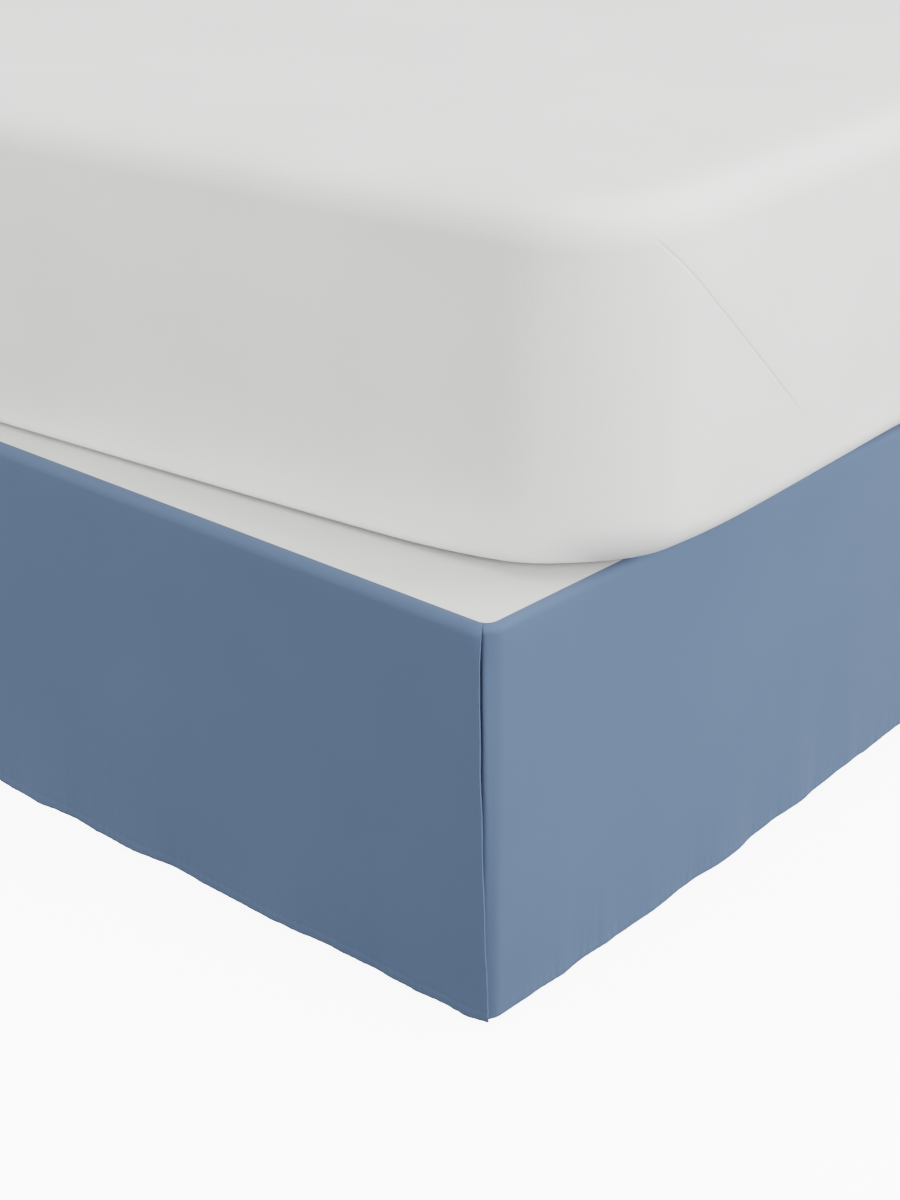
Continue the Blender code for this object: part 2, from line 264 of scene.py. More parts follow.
def make_box_spring():
    """One skin over the rings of its section, shaded sharp at the tapes."""
    middle = (Vector(SPRING_LOW) + Vector(SPRING_HIGH)) / 2.0
    half = (Vector(SPRING_HIGH) - Vector(SPRING_LOW)) / 2.0
    rings = []
    for rise, inset in SPRING_LEVELS:
        corner = max(SPRING_CORNER - inset, LEAST_CORNER)
        ring = round_corners(half.x - inset, half.y - inset, corner)
        rings.append([Vector((middle.x + p.x, middle.y + p.y, SPRING_LOW[2] + rise)) for p in ring])
    piece = stack_rings("box_spring_cover", rings)
    deselect()
    piece.select_set(True)
    bpy.context.view_layer.objects.active = piece
    bpy.ops.object.shade_smooth_by_angle(angle=math.radians(SPRING_SMOOTH_DEG))
    deselect()
    piece.data.materials.append(ticking())
    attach(piece, "root")
    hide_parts("box_spring")


make_box_spring()

# The skirt's deck: one flat panel of plain white sheeting, cut to the top of the box spring and sewn
# to the drops round three sides. It lies smooth, with a few soft ripples in the strip that shows.

BED_WIDTH = 1.524
BED_LENGTH = 2.032
BED_CORNER = 0.014
DECK_TOP = 0.3620
SEAM_IN = 0.0035
CLOTH = 0.0015
DECK_INSET = 0.0037
DECK_EDGE_STEPS = (0.0, 0.0008, 0.0020, 0.0036, 0.0056, 0.0078, 0.0103, 0.0150, 0.0220)
DECK_STEP = 0.0145
# Ripples in the bare strip of the deck: where they start and end, their height and waves per metre
BARE_FROM = 0.004
BARE_TO = 0.075
RIPPLE_RIM = 0.016
RIPPLE_RISE = 0.0011
RIPPLES_ACROSS = 13.0
RIPPLES_ALONG = 9.0
RIPPLE_SEED = 4.0
# Woven cloth: the slubs' height in weave heights, and their share of the tone
SLUB_HEIGHT = 1.4
SLUB_TONE = 0.16
CLOTH_SMOOTH_DEG = 40.0


def smooth_step(value, low, high):
    """Rises from 0 at low to 1 at high, level at both ends."""
    t = min(max((value - low) / (high - low), 0.0), 1.0)
    return t * t * (3.0 - 2.0 * t)


def drift(x, y, z):
    """A smooth uneven value between -1 and 1, the same each run."""
    return noise.noise(Vector((x, y, z)))


def spread(start, end, step):
    """Evenly spaced places from start to end, both included."""
    count = max(1, round(abs(end - start) / step))
    return [start + (end - start) * i / count for i in range(count + 1)]


def cloth_grid(name, columns, depths, hang, lay_flat, flip=False):
    """One skin of cloth: hang gives a point for a column and a depth, lay_flat its place on the cut."""
    points = [hang(column, depth) for column in columns for depth in depths]
    flats = [lay_flat(column, depth) for column in columns for depth in depths]
    rows = len(depths)
    faces = []
    for i in range(len(columns) - 1):
        for j in range(rows - 1):
            a = i * rows + j
            face = (a, a + 1, a + rows + 1, a + rows)
            faces.append(face[::-1] if flip else face)
    mesh = bpy.data.meshes.new(name)
    mesh.from_pydata(points, [], faces)
    flat_map = mesh.uv_layers.new(name="flat_cloth")
    for loop in mesh.loops:
        flat_map.data[loop.index].uv = flats[loop.vertex_index]
    piece = bpy.data.objects.new(name, mesh)
    bpy.context.scene.collection.objects.link(piece)
    return piece


def give_thickness(piece, thickness):
    """Turns one skin of cloth into a sheet of its real thickness, on the skin's inner side."""
    deselect()
    piece.select_set(True)
    bpy.context.view_layer.objects.active = piece
    solid = piece.modifiers.new("thickness", "SOLIDIFY")
    solid.thickness = thickness
    solid.offset = -1.0
    solid.use_even_offset = True
    bpy.ops.object.modifier_apply(modifier=solid.name)
    bpy.ops.object.shade_smooth_by_angle(angle=math.radians(CLOTH_SMOOTH_DEG))
    deselect()


def woven(name, colours, thread, depth, sheen, roughness, blotch=0.14, hem=None):
    """Plain woven cloth on its flat map: a grid of threads, soft blotches and, if given, a hem.

    colours are the darkest and the palest tone; thread is the spacing of the threads in metres and
    depth their height. hem is the depth on the cut of a line of stitches.
    """
    material, tree, shader = new_material(
        name, IOR=1.5, Roughness=roughness, Sheen_Weight=sheen, Sheen_Roughness=0.45
    )
    flat = add_node(tree, "ShaderNodeUVMap", {}, uv_map="flat_cloth").outputs["UV"]
    place = add_node(tree, "ShaderNodeTexCoord", {}).outputs["Object"]
    axes = add_node(tree, "ShaderNodeSeparateXYZ", {"Vector": flat})
    turns = 2.0 * math.pi / thread
    waves = []
    for axis in ("X", "Y"):
        run = add_node(
            tree, "ShaderNodeMath", {0: axes.outputs[axis], 1: turns}, operation="MULTIPLY"
        )
        wave = add_node(tree, "ShaderNodeMath", {0: run.outputs[0]}, operation="SINE")
        waves.append(wave.outputs[0])
    weave = add_node(tree, "ShaderNodeMath", {0: waves[0], 1: waves[1]}, operation="MULTIPLY")
    slubs = add_node(tree, "ShaderNodeTexNoise", {"Vector": place, "Scale": 620.0, "Detail": 2.0})
    blotches = add_node(tree, "ShaderNodeTexNoise", {"Vector": place, "Scale": 7.0, "Detail": 3.0})
    mixed = add_node(
        tree,
        "ShaderNodeMapRange",
        {"Value": blotches.outputs["Fac"], "To Min": 0.5 - blotch, "To Max": 0.5 + blotch},
    )
    speck = add_node(
        tree,
        "ShaderNodeMapRange",
        {"Value": slubs.outputs["Fac"], "To Min": -SLUB_TONE, "To Max": SLUB_TONE},
    )
    share = add_node(
        tree,
        "ShaderNodeMath",
        {0: mixed.outputs["Result"], 1: speck.outputs["Result"]},
        operation="ADD",
    )
    tone = add_node(tree, "ShaderNodeMix", {"Factor": share.outputs[0]}, data_type="RGBA")
    tone.inputs["A"].default_value = linear(colours[0])
    tone.inputs["B"].default_value = linear(colours[1])
    height = add_node(
        tree,
        "ShaderNodeMath",
        {0: slubs.outputs["Fac"], 1: SLUB_HEIGHT, 2: weave.outputs[0]},
        operation="MULTIPLY_ADD",
    )
    bump = add_node(
        tree, "ShaderNodeBump", {"Height": height.outputs[0], "Strength": 0.6, "Distance": depth}
    )
    normal, colour = bump.outputs["Normal"], tone.outputs["Result"]
    if hem:
        normal, colour = stitch_line(tree, axes, hem, normal, colour)
    tree.links.new(colour, shader.inputs["Base Color"])
    tree.links.new(normal, shader.inputs["Normal"])
    return material


def make_deck():
    """The deck, with close rows along its edges, where it meets the roll of the seam."""
    half_x = BED_WIDTH / 2.0 - DECK_INSET
    half_y = BED_LENGTH / 2.0 - DECK_INSET
    radius = BED_CORNER - DECK_INSET

    def stations(half):
        inner = spread(-half + DECK_EDGE_STEPS[-1], half - DECK_EDGE_STEPS[-1], DECK_STEP)
        return (
            [-half + step for step in DECK_EDGE_STEPS[:-1]]
            + inner
            + [half - step for step in reversed(DECK_EDGE_STEPS[:-1])]
        )

    def lay(x, y):
        corner = Vector((max(abs(x) - half_x + radius, 0.0), max(abs(y) - half_y + radius, 0.0)))
        if corner.x > 0.0 and corner.y > 0.0:
            corner *= max(corner) / corner.length
        flat_x = min(abs(x), half_x - radius) + corner.x
        flat_y = min(abs(y), half_y - radius) + corner.y
        bare = 1.0 - smooth_step(y, -half_y + BARE_FROM, -half_y + BARE_TO)
        rim = smooth_step(half_y + y, 0.0, RIPPLE_RIM)
        rim *= smooth_step(half_x - abs(x), 0.0, RIPPLE_RIM)
        ripple = 0.5 + 0.5 * drift(x * RIPPLES_ACROSS, y * RIPPLES_ALONG, RIPPLE_SEED)
        rise = RIPPLE_RISE * ripple * bare * rim
        return Vector((math.copysign(flat_x, x), math.copysign(flat_y, y), DECK_TOP + rise))

    depths = list(reversed(stations(half_y)))
    deck = cloth_grid("deck_sheet", stations(half_x), depths, lay, lambda x, y: (x, y))
    give_thickness(deck, CLOTH)
    white = woven(
        "white_sheeting",
        ("#cbcbc9", "#dfdfdd"),
        thread=0.0011,
        depth=0.00010,
        sheen=0.12,
        roughness=0.9,
    )
    deck.data.materials.append(white)
    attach(deck, "root")
    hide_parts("deck")


make_deck()

# The skirt's drops: panels of brushed blue microfibre, sewn to the deck's edge, rolled over the edge
# of the box spring and hanging straight. A turned hem, sewn 9 mm up, puckers its lower edge a little.

HEM_Z = 0.006
SIDE_OUT = 0.0040
FOOT_OUT = 0.0065
FOOT_BOW = 0.0110
# The panels' unevenness sets in below the roll, between these depths
FALL_FROM = 0.010
FALL_TO = 0.060
# Rows and columns of the sheets
ROLL_ROW = 0.002
FALL_ROW = 0.019
HEM_ROW = 0.0014
HEM_ROWS_FROM = 0.030
COLUMN_STEP = 0.0026
TURN_STEP = 0.1
# The split at the foot's corners: the side drop is tucked behind the foot drop, whose end follows the
# corner at the seam, hangs flat lower down and leans outwards towards the hem
TUCK = 0.030
TUCK_TOP = 0.018
SPLIT_DEG = 30.0
SPLIT_GAP_DEG = 0.4
SPLIT_FLAT_FROM = 0.006
SPLIT_FLAT_AT = 0.045
FLAT_END = -0.0042
END_LEAN = 0.0125
END_BEND = 1.7
END_LIFT = 0.0060
END_WAVE = 0.0008
END_WAVES_PER_METRE = 26.0
END_PUCKERS_SHIFT = 0.02
# The columns of the side drop's turn, two of them close together where its tuck ends
SIDE_TURNS_DEG = (7.5, 15, 22.5, SPLIT_DEG, SPLIT_DEG + 0.8, 35, 40, 45, 50, 60, 70, 80)
# Beside the split the side drop swells out to the corner, more at the seam than at the hem
FILL_TOP = 0.0028
FILL_LOW = 0.0010
FILL_AT_DEG = 38.0
FILL_WIDE_DEG = 13.0
# Folds swing out most at the hem and fade where a panel is held at its ends
FOLD_POWER = 6
FOOT_LOOSE_TO = 0.660
FOOT_HELD_FROM = 0.740
SIDE_LOOSE_FROM = 0.060
HELD_SHARE = 0.25
FOOT_LIFT = 0.0012
# The side's hem rises along the bed and sinks again towards the head
SIDE_IN = 0.0025
SIDE_RISE = 0.0225
SIDE_RISE_FROM = 0.15
SIDE_RISE_TO = 0.66
SIDE_SINK_FROM = 0.80
SIDE_SINK_TO = 1.80
SIDE_RISE_KEPT = 0.40
# The sewn hem: its stitches, the groove that they draw in, the puckers round them and the edge
STITCH_UP = 0.009
STITCH_LENGTH = 0.0030
GROOVE_DEEP = 0.00028
GROOVE_WIDE = 0.0013
PUCKER_HIGH = 0.00034
PUCKER_LONG = 0.0085
PUCKER_REACH = 0.0055
PUCKER_WANDER = 3.0
PUCKER_BELOW = 0.5
PUCKER_LEAST = 0.55
PUCKER_MORE = 0.9
WANDERS_PER_METRE = 30.0
CHANGES_PER_METRE = 17.0
TURNED_PROUD = 0.00022
TURNED_BELOW = 0.002
TURNED_ABOVE = 0.001
EDGE_IN = 0.0006
EDGE_ROUND = 0.0020
FOOT_SEED = 1.0
SIDE_SEED = 10.0

# Kinks 15 to 80 mm long in the hem: waves per metre, seed, swing outwards and rise
KINKS = [
    (24.0, 0.0, 0.0016, 0.0000),
    (55.0, 3.0, 0.0008, 0.0000),
    (115.0, 5.0, 0.0004, 0.0007),
    (30.0, 7.0, 0.0000, 0.0012),
]
# Unevenness of the panels: waves per metre along and down, seed and height
PANEL_WAVES = [(5.0, 2.2, 0.0, 0.0009), (16.0, 5.0, 4.0, 0.00022)]

# Soft folds at the hem: place along the drop, half width, swing outwards and rise of the hem
FOOT_FOLDS = [
    (-0.640, 0.050, -0.0020, 0.0000),
    (-0.505, 0.040, 0.0025, 0.0010),
    (-0.385, 0.045, -0.0020, 0.0000),
    (-0.270, 0.040, 0.0030, 0.0010),
    (-0.140, 0.045, -0.0015, 0.0000),
    (-0.020, 0.040, 0.0030, 0.0010),
    (0.095, 0.035, -0.0010, 0.0000),
    (0.195, 0.040, 0.0035, 0.0000),
    (0.260, 0.025, -0.0010, 0.0000),
    (0.322, 0.035, 0.0030, 0.0000),
    (0.402, 0.035, -0.0022, 0.0000),
    (0.527, 0.035, 0.0016, 0.0000),
    (0.615, 0.060, -0.0020, 0.0000),
]
SIDE_FOLDS = [
    (0.060, 0.030, 0.0010, 0.0000),
    (0.150, 0.040, -0.0010, 0.0000),
    (0.250, 0.035, -0.0015, 0.0010),
    (0.325, 0.026, 0.0022, 0.0000),
    (0.390, 0.030, -0.0008, 0.0010),
    (0.430, 0.024, 0.0024, 0.0000),
    (0.520, 0.025, 0.0020, 0.0025),
    (0.640, 0.040, -0.0015, 0.0000),
    (0.775, 0.045, 0.0045, 0.0010),
    (0.920, 0.050, -0.0020, 0.0000),
    (1.080, 0.050, 0.0050, 0.0010),
    (1.240, 0.050, -0.0020, 0.0000),
    (1.400, 0.050, 0.0045, 0.0010),
    (1.560, 0.050, -0.0020, 0.0000),
    (1.720, 0.050, 0.0050, 0.0010),
    (1.880, 0.045, -0.0010, 0.0000),
]


def cloth_length(out):
    """The cloth's length from the seam to the hem: a quarter roll, then the fall."""
    roll = out + SEAM_IN
    return roll * math.pi / 2.0 + DECK_TOP - roll - HEM_Z


def row_depths(out):
    """Depths of the rows: close on the roll, wide on the fall, close again at the hem."""
    full = cloth_length(out)
    quarter = (out + SEAM_IN) * math.pi / 2.0
    roll_rows = spread(0.0, quarter, ROLL_ROW)
    fall_rows = spread(quarter, full - HEM_ROWS_FROM, FALL_ROW)
    hem_rows = spread(full - HEM_ROWS_FROM, full, HEM_ROW)
    return roll_rows[:-1] + fall_rows[:-1] + hem_rows


def bell(offset, width):
    """1 at no offset, and fading to both sides."""
    return math.exp(-((offset / width) ** 2))


def fold_pair(folds, along):
    """The swing and the rise of the hem at a place along the drop."""
    swing, lift = 0.0, 0.0
    for centre, half_width, out, rise in folds:
        nearness = bell(along - centre, half_width)
        swing += out * nearness
        lift += rise * nearness
    return swing, lift


def small_waves(along, seed):
    """The swing and the rise of the kinks, which no fold table holds."""
    swing, lift = 0.0, 0.0
    for per_metre, kink_seed, out, rise in KINKS:
        wave = drift(along * per_metre, seed, kink_seed)
        swing += out * wave
        lift += rise * wave
    return swing, lift


def hem_relief(along, up, seed):
    """How far the face stands out near the hem: turned edge, stitch groove and puckers."""
    wander = PUCKER_WANDER * drift(along * WANDERS_PER_METRE, seed, 9.0)
    pucker = math.sin(2.0 * math.pi * along / PUCKER_LONG + wander)
    uneven = PUCKER_LEAST + PUCKER_MORE * abs(drift(along * CHANGES_PER_METRE, seed, 5.0))
    near_stitch = bell(up - STITCH_UP, PUCKER_REACH)
    near_stitch += PUCKER_BELOW * (1.0 - smooth_step(up, 0.0, STITCH_UP))
    turned = 1.0 - smooth_step(up, STITCH_UP - TURNED_BELOW, STITCH_UP + TURNED_ABOVE)
    groove = -GROOVE_DEEP * bell(up - STITCH_UP, GROOVE_WIDE)
    edge = -EDGE_IN * (1.0 - smooth_step(up, 0.0, EDGE_ROUND))
    return PUCKER_HIGH * pucker * uneven * near_stitch + TURNED_PROUD * turned + groove + edge


def panel_relief(along, depth, seed):
    """Soft unevenness of the hanging panel, a fraction of a millimetre."""
    relief = 0.0
    for waves_along, waves_down, wave_seed, height in PANEL_WAVES:
        relief += height * drift(along * waves_along, depth * waves_down, seed + wave_seed)
    return relief


def drop_section(depth, out, bow, swing, lift):
    """Distance out from the box spring's face and height of a drop, at a depth along the cloth.

    bow is how far the whole panel swings out at the hem, swing how far a fold near the hem does.
    """
    roll = out + SEAM_IN
    quarter = roll * math.pi / 2.0
    if depth < quarter:
        angle = depth / roll
        return out - roll + roll * math.sin(angle), DECK_TOP - roll + roll * math.cos(angle)
    fall = DECK_TOP - roll - HEM_Z
    share = min((depth - quarter) / fall, 1.0)
    fold = swing * share**FOLD_POWER
    return out + bow * share**2 + fold, DECK_TOP - roll - fall * share + lift * share**3


def stitch_line(tree, axes, hem, normal, colour):
    """Adds a line of stitches, threads 0.8 mm wide, across the cut at the depth called hem."""
    off_line = add_node(
        tree, "ShaderNodeMath", {0: axes.outputs["Y"], 1: hem}, operation="SUBTRACT"
    )
    away = add_node(tree, "ShaderNodeMath", {0: off_line.outputs[0]}, operation="ABSOLUTE")
    band = add_node(
        tree,
        "ShaderNodeMapRange",
        {
            "Value": away.outputs[0],
            "From Min": 0.0002,
            "From Max": 0.0006,
            "To Min": 1.0,
            "To Max": 0.0,
        },
    )
    run = add_node(
        tree,
        "ShaderNodeMath",
        {0: axes.outputs["X"], 1: 2.0 * math.pi / STITCH_LENGTH},
        operation="MULTIPLY",
    )
    beat = add_node(tree, "ShaderNodeMath", {0: run.outputs[0]}, operation="SINE")
    dash = add_node(
        tree,
        "ShaderNodeMapRange",
        {"Value": beat.outputs[0], "From Min": -0.75, "From Max": -0.45},
    )
    thread = add_node(
        tree,
        "ShaderNodeMath",
        {0: band.outputs["Result"], 1: dash.outputs["Result"]},
        operation="MULTIPLY",
    )
    bump = add_node(
        tree,
        "ShaderNodeBump",
        {"Height": thread.outputs[0], "Strength": 0.4, "Distance": 0.0003, "Normal": normal},
    )
    tone = add_node(
        tree, "ShaderNodeMix", {"Factor": thread.outputs[0], "A": colour}, data_type="RGBA"
    )
    tone.inputs["B"].default_value = linear("#5d6f89")
    return bump.outputs["Normal"], tone.outputs["Result"]


def microfibre(out):
    """Brushed polyester microfibre: threads drawn 1 mm apart, a soft sheen and hardly any gloss."""
    hem = cloth_length(out) - STITCH_UP
    return woven(
        "blue_microfibre",
        ("#566780", "#5f728c"),
        thread=0.0010,
        depth=0.00006,
        sheen=0.15,
        roughness=0.88,
        blotch=0.22,
        hem=hem,
    )


def foot_hang(column, depth):
    """The foot drop rounds the corner at the seam, hangs flat lower down and flares at its ends."""
    along, turn = column
    side = math.copysign(1.0, along)
    loose = 1.0 - smooth_step(abs(along), FOOT_LOOSE_TO, FOOT_HELD_FROM)
    swing, lift = (loose * part for part in fold_pair(FOOT_FOLDS, along))
    kink, hop = small_waves(along, FOOT_SEED)
    swing += kink * (HELD_SHARE + (1.0 - HELD_SHARE) * loose)
    lift += FOOT_LIFT + (END_LIFT - FOOT_LIFT) * turn + hop
    bow = FOOT_BOW * (1.0 - (2.0 * along / BED_WIDTH) ** 2)
    u, z = drop_section(depth, FOOT_OUT, bow, swing, lift)
    up = cloth_length(FOOT_OUT) - depth
    fallen = smooth_step(depth, FALL_FROM, FALL_TO)
    relief = hem_relief(along + END_PUCKERS_SHIFT * turn * side, up, FOOT_SEED)
    relief += fallen * loose * panel_relief(along, depth, FOOT_SEED)
    reach = FLAT_END + END_LEAN * max((DECK_TOP - z) / (DECK_TOP - HEM_Z), 0.0) ** END_BEND
    reach += END_WAVE * drift(depth * END_WAVES_PER_METRE, side, 2.0) * fallen
    flat = Vector((turn * (BED_CORNER + reach), -u - relief))
    angle = math.radians(turn * (SPLIT_DEG - SPLIT_GAP_DEG))
    radius = BED_CORNER + u
    turned = Vector((radius * math.sin(angle), BED_CORNER - radius * math.cos(angle)))
    at = turned.lerp(flat, smooth_step(depth, SPLIT_FLAT_FROM, SPLIT_FLAT_AT))
    return Vector((along + side * at.x, at.y - BED_LENGTH / 2.0, z))


def make_foot_drop():
    """The drop across the foot, from one split corner to the other."""
    straight_end = BED_WIDTH / 2.0 - BED_CORNER
    turns = spread(0.0, 1.0, TURN_STEP)[1:]
    columns = [(-straight_end, turn) for turn in reversed(turns)]
    columns += [(along, 0.0) for along in spread(-straight_end, straight_end, COLUMN_STEP)]
    columns += [(straight_end, turn) for turn in turns]

    def lay_flat(column, depth):
        along, turn = column
        return along + math.copysign(turn * (BED_CORNER + FLAT_END), along), depth

    drop = cloth_grid("foot_drop", columns, row_depths(FOOT_OUT), foot_hang, lay_flat)
    give_thickness(drop, CLOTH)
    drop.data.materials.append(microfibre(FOOT_OUT))
    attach(drop, "root")
    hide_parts("drop_foot")


def side_hang(side, column, depth):
    """A side drop: a tucked return behind the foot drop, a quarter turn, then straight to the head."""
    tuck, turn_deg, run = column
    full = cloth_length(SIDE_OUT)
    if turn_deg <= SPLIT_DEG:
        depth = TUCK_TOP + (full - TUCK_TOP) * depth / full
    loose = smooth_step(run, 0.0, SIDE_LOOSE_FROM)
    risen = smooth_step(run, SIDE_RISE_FROM, SIDE_RISE_TO)
    kept = 1.0 - (1.0 - SIDE_RISE_KEPT) * smooth_step(run, SIDE_SINK_FROM, SIDE_SINK_TO)
    swing, lift = (loose * part for part in fold_pair(SIDE_FOLDS, run))
    seed = SIDE_SEED + side
    kink, hop = small_waves(run, seed)
    swing += kink * loose
    lift += hop * loose + SIDE_RISE * risen * kept
    u, z = drop_section(depth, SIDE_OUT, -SIDE_IN * risen, swing, lift)
    fallen = smooth_step(depth, FALL_FROM, FALL_TO)
    arc = math.radians(turn_deg) * BED_CORNER
    held = HELD_SHARE + (1.0 - HELD_SHARE) * loose
    relief = held * hem_relief(run + arc - tuck, full - depth, seed)
    relief += fallen * loose * panel_relief(run, depth, seed)
    u += relief
    fill = FILL_TOP + (FILL_LOW - FILL_TOP) * depth / full
    u += fill * fallen * bell(turn_deg - FILL_AT_DEG, FILL_WIDE_DEG)
    angle = math.radians(turn_deg)
    radius = BED_CORNER + u
    x = BED_WIDTH / 2.0 - BED_CORNER - tuck + radius * math.sin(angle)
    y = BED_CORNER - BED_LENGTH / 2.0 + run - radius * math.cos(angle)
    return Vector((side * x, y, z))


def make_side_drop(word, side):
    """The drop down one side; side is 1 on the right and -1 on the left."""
    full = cloth_length(SIDE_OUT)
    quarter_turn = (BED_CORNER + SIDE_OUT) * math.pi / 2.0
    columns = [(tuck, 0.0, 0.0) for tuck in spread(TUCK, 0.0, COLUMN_STEP)]
    columns += [(0.0, turn_deg, 0.0) for turn_deg in SIDE_TURNS_DEG]
    columns += [(0.0, 90.0, run) for run in spread(0.0, BED_LENGTH - BED_CORNER, COLUMN_STEP)]

    def lay_flat(column, depth):
        tuck, turn_deg, run = column
        if turn_deg <= SPLIT_DEG:
            depth = TUCK_TOP + (full - TUCK_TOP) * depth / full
        return run - tuck - (1.0 - turn_deg / 90.0) * quarter_turn, depth

    def hang(column, depth):
        return side_hang(side, column, depth)

    drop = cloth_grid("side_drop_" + word, columns, row_depths(SIDE_OUT), hang, lay_flat, side < 0.0)
    give_thickness(drop, CLOTH)
    drop.data.materials.append(microfibre(SIDE_OUT))
    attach(drop, "root")
    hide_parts("drop_side_" + word)


make_foot_drop()
make_side_drop("right", 1.0)
make_side_drop("left", -1.0)

# Mattress: springs and foam under a smooth white cotton sheet, pulled tight and tucked in below. At
# each corner the sheet is folded over itself along a slant, which leaves a faint crease on the side.

MATTRESS_X = 0.7259
MATTRESS_Y = 0.9898
MATTRESS_CORNER = 0.110
MATTRESS_TURN_DEG = 4.76
FOOT_CROWN = 0.0075
SIDE_CROWN = 0.0135
MATTRESS_BASE = DECK_TOP + 0.0003
# The lower edge is rounded most at the corners, where the tucked sheet pulls it in
FOOT_EDGE = 0.012
SIDE_EDGE = 0.024
CORNER_EDGE = 0.050
EDGE_FADE = 0.100
SHOULDER = 0.270
BELLY = 0.003
# The side's section above its shoulder: rise above the underside, inset from the outline
MATTRESS_LEVELS = [
    (0.2700, 0.0000),
    (0.2830, 0.0042),
    (0.2930, 0.0120),
    (0.2990, 0.0235),
    (0.3020, 0.0400),
    (0.3032, 0.0700),
    (0.3038, 0.1200),
    (0.3042, 0.2000),
    (0.3046, 0.4000),
    (0.3049, 0.6000),
    (0.3050, 0.7100),
]
LEVEL_STEP = 0.0065
TOP_STEP = 0.020
FINE_STEP = 0.0055
COARSE_STEP = 0.020
FINE_TO = 0.310
ARC_STEP_DEG = 3.75
EDGE_STEP_DEG = 7.5
LEAST_RADIUS = 0.008
UNDERSIDE_INSETS = (0.300, 0.110)
SHOULDER_INSET = 0.060
# Unevenness of its faces: waves per metre along and up, and height
PUFFS = [(4.0, 6.0, 0.0012), (14.0, 14.0, 0.00025)]
PUFF_ON_TOP = 1.3
# The upright faces start at this rise and end between these insets; the top starts between the others
UPRIGHT_AT = 0.050
UPRIGHT_ENDS = (0.020, 0.050)
TOP_STARTS = (0.030, 0.080)
TOP_ABOVE = (0.100, 0.200)
# The crease's ends on a side face: distance from the corner and rise above the underside
CREASE_TOP = (0.078, 0.260)
CREASE_LOW = (0.305, 0.055)
CREASE_FROM = 0.020
# The fold's edge is a groove, which fades in above the crease's top and out along its lower part
CREASE_WIDE = 0.0021
CREASE_DEEP = 0.0005
CREASE_FADE = 0.030
CREASE_FULL_TO = 0.7
# Behind the edge the fold is a low step: its height, where it starts and ends in shares of the
# crease's length, and its edge and back across the crease
FOLD_HIGH = 0.0012
FOLD_STARTS = (-0.20, 0.05)
FOLD_ENDS = (0.75, 1.20)
FOLD_EDGE = (-0.004, 0.006)
FOLD_BACK = (0.020, 0.120)
PERCALE_THREAD = 0.0012
PERCALE_SLUB_HEIGHT = 1.5


def through(points, wanted_step):
    """A smooth curve through points, as places about one step apart."""
    places = []
    for i in range(len(points) - 1):
        before = points[max(i - 1, 0)]
        start, end = points[i], points[i + 1]
        after = points[min(i + 2, len(points) - 1)]
        steps = max(2, round((end - start).length / wanted_step(start)))
        for step in range(steps):
            t = step / steps
            places.append(
                0.5
                * (
                    2.0 * start
                    + (end - before) * t
                    + (2.0 * before - 5.0 * start + 4.0 * end - after) * t**2
                    + (3.0 * start - before - 3.0 * end + after) * t**3
                )
            )
    return [*places, points[-1]]


def mattress_ring(inset):
    """Each point round the mattress at an inset, its outward direction, its distance from the
    corner and whether its side is a long one."""
    half_x, half_y = MATTRESS_X - inset, MATTRESS_Y - inset
    radius = max(MATTRESS_CORNER - inset / 2.0, LEAST_RADIUS)
    ring = []
    for quarter in range(4):
        turn = Matrix.Rotation(math.radians(90.0 * quarter), 2)
        long_side = quarter % 2 == 0
        across, along = (half_x, half_y) if long_side else (half_y, half_x)
        full_along = MATTRESS_Y if long_side else MATTRESS_X
        crown = SIDE_CROWN if long_side else FOOT_CROWN
        reach = full_along - MATTRESS_CORNER
        fine_end = -reach + FINE_TO - MATTRESS_CORNER
        stations = spread(-reach, fine_end, FINE_STEP)[:-1]
        stations += spread(fine_end, -fine_end, COARSE_STEP)[:-1]
        stations += spread(-fine_end, reach, FINE_STEP)[:-1]
        for place in stations:
            t = place / reach
            bow = crown * (1.0 - t * t)
            point = turn @ Vector((across + bow, t * (along - radius)))
            ring.append((point, turn @ Vector((1.0, 0.0)), full_along - abs(place), long_side))
        for angle in spread(0.0, math.radians(90.0), math.radians(ARC_STEP_DEG))[:-1]:
            arc = Vector((math.cos(angle), math.sin(angle))) * radius
            point = turn @ (Vector((across - radius, along - radius)) + arc)
            share = angle / math.radians(90.0)
            ring.append((point, turn @ arc.normalized(), MATTRESS_CORNER * (1.0 - share), long_side))
    return ring


def edge_radius(outward, corner_distance):
    """Radius of the mattress's lower edge: small at the foot, larger at the side and the corners."""
    base = FOOT_EDGE + (SIDE_EDGE - FOOT_EDGE) * outward.x**2
    off_diagonal = abs(math.atan2(abs(outward.y), abs(outward.x)) - math.pi / 4.0)
    away = off_diagonal * MATTRESS_CORNER + max(corner_distance - MATTRESS_CORNER, 0.0)
    return base + (CORNER_EDGE - base) * bell(away, EDGE_FADE)


def crease_relief(place, rise):
    """The slanting fold of the sheet on a side face, a low step that fades out behind its edge."""
    start, end = Vector(CREASE_TOP), Vector(CREASE_LOW)
    line = end - start
    offset = Vector((place, rise)) - start
    share = offset.dot(line) / line.length_squared
    across = line.cross(offset) / line.length
    fade = smooth_step(share, *FOLD_STARTS) * (1.0 - smooth_step(share, *FOLD_ENDS))
    step = FOLD_HIGH * fade * smooth_step(across, *FOLD_EDGE)
    return step * (1.0 - smooth_step(across, *FOLD_BACK))


